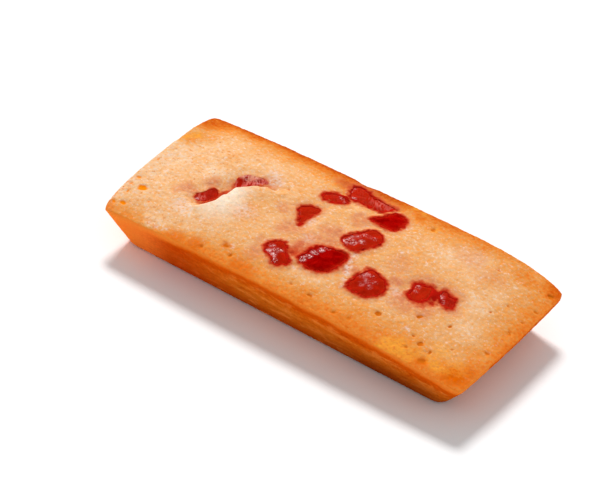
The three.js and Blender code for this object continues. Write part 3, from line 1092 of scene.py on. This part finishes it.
# Spots on the top with finely ragged outlines
fineSpots = {
    # dark caramel
    "toffee": [
        (39.4, -17.6, 4.8, 1.0), (40.4, -15.0, 3.6, 0.8), (36.0, -17.0, 3.0, 0.25), (32.2, -18.7, 1.8, 0.9),
        (42.0, 19.8, 3.4, 0.3), (-15.8, -16.6, 1.6, 0.5), (-21.3, -19.8, 2.8, 0.7), (-42.3, -20.0, 2.2, 0.5),
        (-25.5, -20.4, 3.0, 0.5), (-11.0, -19.5, 3.0, 0.5), (-8.5, -20.2, 3.0, 0.4),
    ],
    # pale crumb, and painted highlights where the rims of pockets by the fruit catch the light
    "pale": [
        (6.1, -2.5, 1.2, 0.9), (6.0, -4.6, 1.4, 1.0), (6.8, -6.2, 1.1, 0.9), (7.4, -7.8, 1.2, 0.9),
        (8.2, -9.7, 1.2, 0.9), (8.9, -11.2, 1.0, 0.6), (-6.4, 0.8, 1.6, 0.6), (-1.3, -13.4, 1.2, 0.5),
        (17.9, -6.1, 1.8, 0.5), (5.2, -3.6, 1.2, 1.0), (-19.6, 7.6, 2.2, 0.9), (-18.0, 7.2, 1.6, 0.7),
        (-20.8, 9.4, 2.2, 0.6), (-4.2, -4.2, 2.2, 0.4), (4.1, 16.4, 0.8, 0.7), (5.4, 15.8, 0.8, 0.8),
        (7.1, 15.0, 0.8, 0.8), (8.3, 14.2, 0.8, 0.6), (-6.8, 1.3, 1.0, 0.4), (-6.8, -1.0, 1.0, 0.4),
        (-6.6, 3.2, 0.8, 0.4), (12.7, 4.7, 0.8, 0.9), (25.4, -13.3, 0.8, 0.8), (-14.6, -16.0, 1.0, 0.6),
        (9.2, 12.6, 0.8, 0.7), (-32.0, -20.2, 0.8, 0.6), (-30.3, -20.0, 0.8, 0.6),
        (-28.4, -19.6, 0.8, 0.5), (-18.5, -6.0, 3.5, 0.5), (-29.4, -12.2, 3.4, 0.6),
    ],
    "pit": [
        (-38.9, -12.4, 1.5, 1.0), (-41.6, -18.7, 1.0, 0.9), (-39.6, -18.1, 1.1, 0.9),
        (-40.7, -15.1, 0.7, 0.8), (-35.4, -15.4, 0.7, 0.8), (-19.8, -19.5, 0.8, 0.7),
        (-13.7, -18.3, 0.8, 1.0), (-41.6, -12.5, 0.7, 0.8), (-41.3, -10.0, 0.6, 0.8),
        (-41.8, -2.4, 0.6, 0.7), (-15.8, -16.6, 0.8, 0.8), (0.7, -17.6, 0.9, 0.6),
        (5.1, -18.0, 0.6, 0.8), (18.6, -13.8, 0.9, 1.0), (25.4, -8.8, 0.9, 1.0),
        (31.5, -6.7, 0.8, 1.0), (27.2, -14.2, 0.7, 0.8), (29.4, -15.1, 0.9, 1.0), (27.6, -17.4, 0.7, 0.7),
        (32.1, -15.9, 0.8, 1.0), (34.9, -12.1, 0.7, 0.6), (11.3, -19.0, 0.8, 0.8), (14.5, -18.5, 0.9, 0.6),
        (32.2, -18.7, 1.2, 0.8), (41.2, 17.4, 0.9, 1.0), (41.4, 11.0, 0.6, 0.7), (40.9, 1.1, 0.7, 0.8),
        (41.1, 6.0, 0.6, 0.7), (40.7, -7.2, 0.8, 0.7), (29.8, 14.5, 0.8, 0.7), (35.1, 2.8, 0.5, 0.7),
        (36.8, 7.3, 0.5, 0.7), (31.1, 7.3, 0.6, 0.5), (13.3, 15.9, 1.1, 0.7), (-15.8, 6.5, 0.7, 0.7),
    ],
    # between pieces of fruit that all but touch
    "juice": [
        (-5.7, 12.0, 2.2, 1.1), (24.5, -1.3, 2.6, 1.15), (25.0, -3.6, 2.0, 0.8), (-4.2, -9.8, 2.8, 0.65),
        (-4.0, -7.4, 2.6, 0.28), (1.2, -2.2, 1.8, 0.22), (23.6, -5.6, 2.2, 0.55),
    ],
}

# Spots on the top with outlines that bend widely
wideSpots = {
    # light caramel
    "honey": [
        (35.4, -17.2, 3.2, 0.7), (33.0, -17.2, 2.4, 0.5), (38.4, -14.6, 3.4, 0.5),
        (23.9, -19.1, 3.2, 0.7), (26.5, -18.9, 3.6, 0.8), (29.4, -19.1, 3.2, 0.6), (6.3, 20.2, 1.5, 0.8),
        (13.3, 15.9, 1.5, 0.7), (9.0, 20.0, 1.6, 0.5), (-40.5, 9.2, 2.0, 0.8), (-41.2, 6.4, 1.5, 0.6),
        (34.0, -14.0, 3.0, 0.5),
    ],
    "blush": [
        (-4.0, -4.5, 4.5, 0.8), (-1.0, 0.0, 5.0, 0.8), (14.0, 2.0, 5.0, 0.4), (23.8, 14.0, 5.0, 0.4),
        (29.0, 1.0, 4.0, 0.3), (-18.4, -6.5, 4.5, 0.2), (-28.0, -2.2, 3.4, 0.8), (17.9, -6.1, 4.0, 0.5),
        (30.0, 11.0, 5.0, 0.3), (-10.8, -11.2, 3.0, 0.5), (6.6, -6.0, 3.8, 1.0), (-31.4, -7.0, 3.0, 0.8),
        (-4.4, -7.2, 3.6, 1.2), (-0.8, -3.4, 3.2, 0.9), (-9.2, -4.0, 4.0, 0.8), (0.6, 7.9, 3.6, 0.8),
        (-9.0, 16.4, 3.4, 0.4), (-10.7, -14.6, 3.4, 0.7), (16.4, -3.4, 3.6, 1.0), (-0.9, 1.4, 3.0, 0.9),
        (-12.4, 0.9, 3.0, 0.6), (21.7, 2.0, 3.4, 0.7), (20.5, -8.4, 4.2, 0.9), (25.0, -6.6, 4.0, 0.7),
    ],
}


# What the material and the relief read in spots on the top, with the juice and blush of fruit, and the
# split's juice stain and painted crack shadow
def topMarks(co, juice, blush, opening, side):
    fine = co + wandering(co, **cakeShape["fineDrift"])
    wide = co + wandering(co, **cakeShape["wideDrift"])
    marks = {name: spots(fine, places) for name, places in fineSpots.items()}
    marks.update({name: spots(wide, places) for name, places in wideSpots.items()})
    offLip = 1 - opening["onLip"]
    marks["juice"] = np.max([juice * offLip, opening["stainAndShade"], marks["juice"]], axis=0)
    marks["blush"] = np.maximum(blush, marks["blush"]) * offLip
    return {name: values * (1 - side) for name, values in marks.items()}


# 1 on the sides, where the surface near the edge is steep, and on the base
def sideShare(co, normal, inward):
    steep = smoothRamp(normal[:, 2], 0.8, 0.3) * smoothRamp(inward, 7.5, 6.0)
    return np.maximum(steep, smoothRamp(co[:, 2], 1.0, 0.3))


def makeCake(material, pieces):
    piece = filledCake()
    co = vertexArray(piece, "co") / mm
    normal = vertexArray(piece, "normal")
    inward = np.minimum(halfLength - np.abs(co[:, 0]), halfWidth - np.abs(co[:, 1]))
    side = sideShare(co, normal, inward)
    drop = rimHeight(co) - co[:, 2]
    bake = browned(co)
    opening = splitMarks(co)
    lit = lightOn(normal, inward, side, opening["paleLip"])

    juice, blush, under = meetFruit(piece, co, opening["past"], side, pieces)
    # painted light: the crumb's edge round each piece is painted brighter to cancel its shade
    lit *= 1 - 0.25 * smoothRamp(juice, 0.7, 1.1)  # the crumb's edge round each piece is in shade
    rise = opening["lip"] * split["lipRise"] - opening["crack"] * split["crackDepth"]
    co[:, 2] += rise * (1 - under) * (1 - side)
    setPlaces(piece, co * mm)

    # the lip's pale crumb, partly a painted highlight
    setAttributes(piece, {"side": side, "lit": lit, "bake": bake, "lip": opening["pale"]})
    setAttributes(piece, nearSideMarks(co, drop, inward, side))
    setAttributes(piece, topMarks(co, juice, blush, opening, side))
    offBase = smoothRamp(co[:, 2], 0.2, 1.5)
    setAttributes(piece, {
        "relief": offBase * (1 - 0.5 * side) * (1 - under) * (1 - 0.4 * opening["lip"]),
        "porous": offBase * (0.35 + 0.65 * smoothRamp(inward, 12, 2)) * (1 - under),
    })
    runTree(piece, crumbTree(material), cakeShape["sizes"])
    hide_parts("cake")
    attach(piece, "root")
    print("crumb:", sum(len(face.vertices) - 2 for face in piece.data.polygons), "triangles")


makeCamera()
makeLight()
makeFloor()
bpy.context.scene.view_settings.view_transform = "Standard"
print("camera, light and floor ready")
fruitPieces = makeFruit(makeFruitMaterial())
makeCake(makeCrumbMaterial(), fruitPieces)
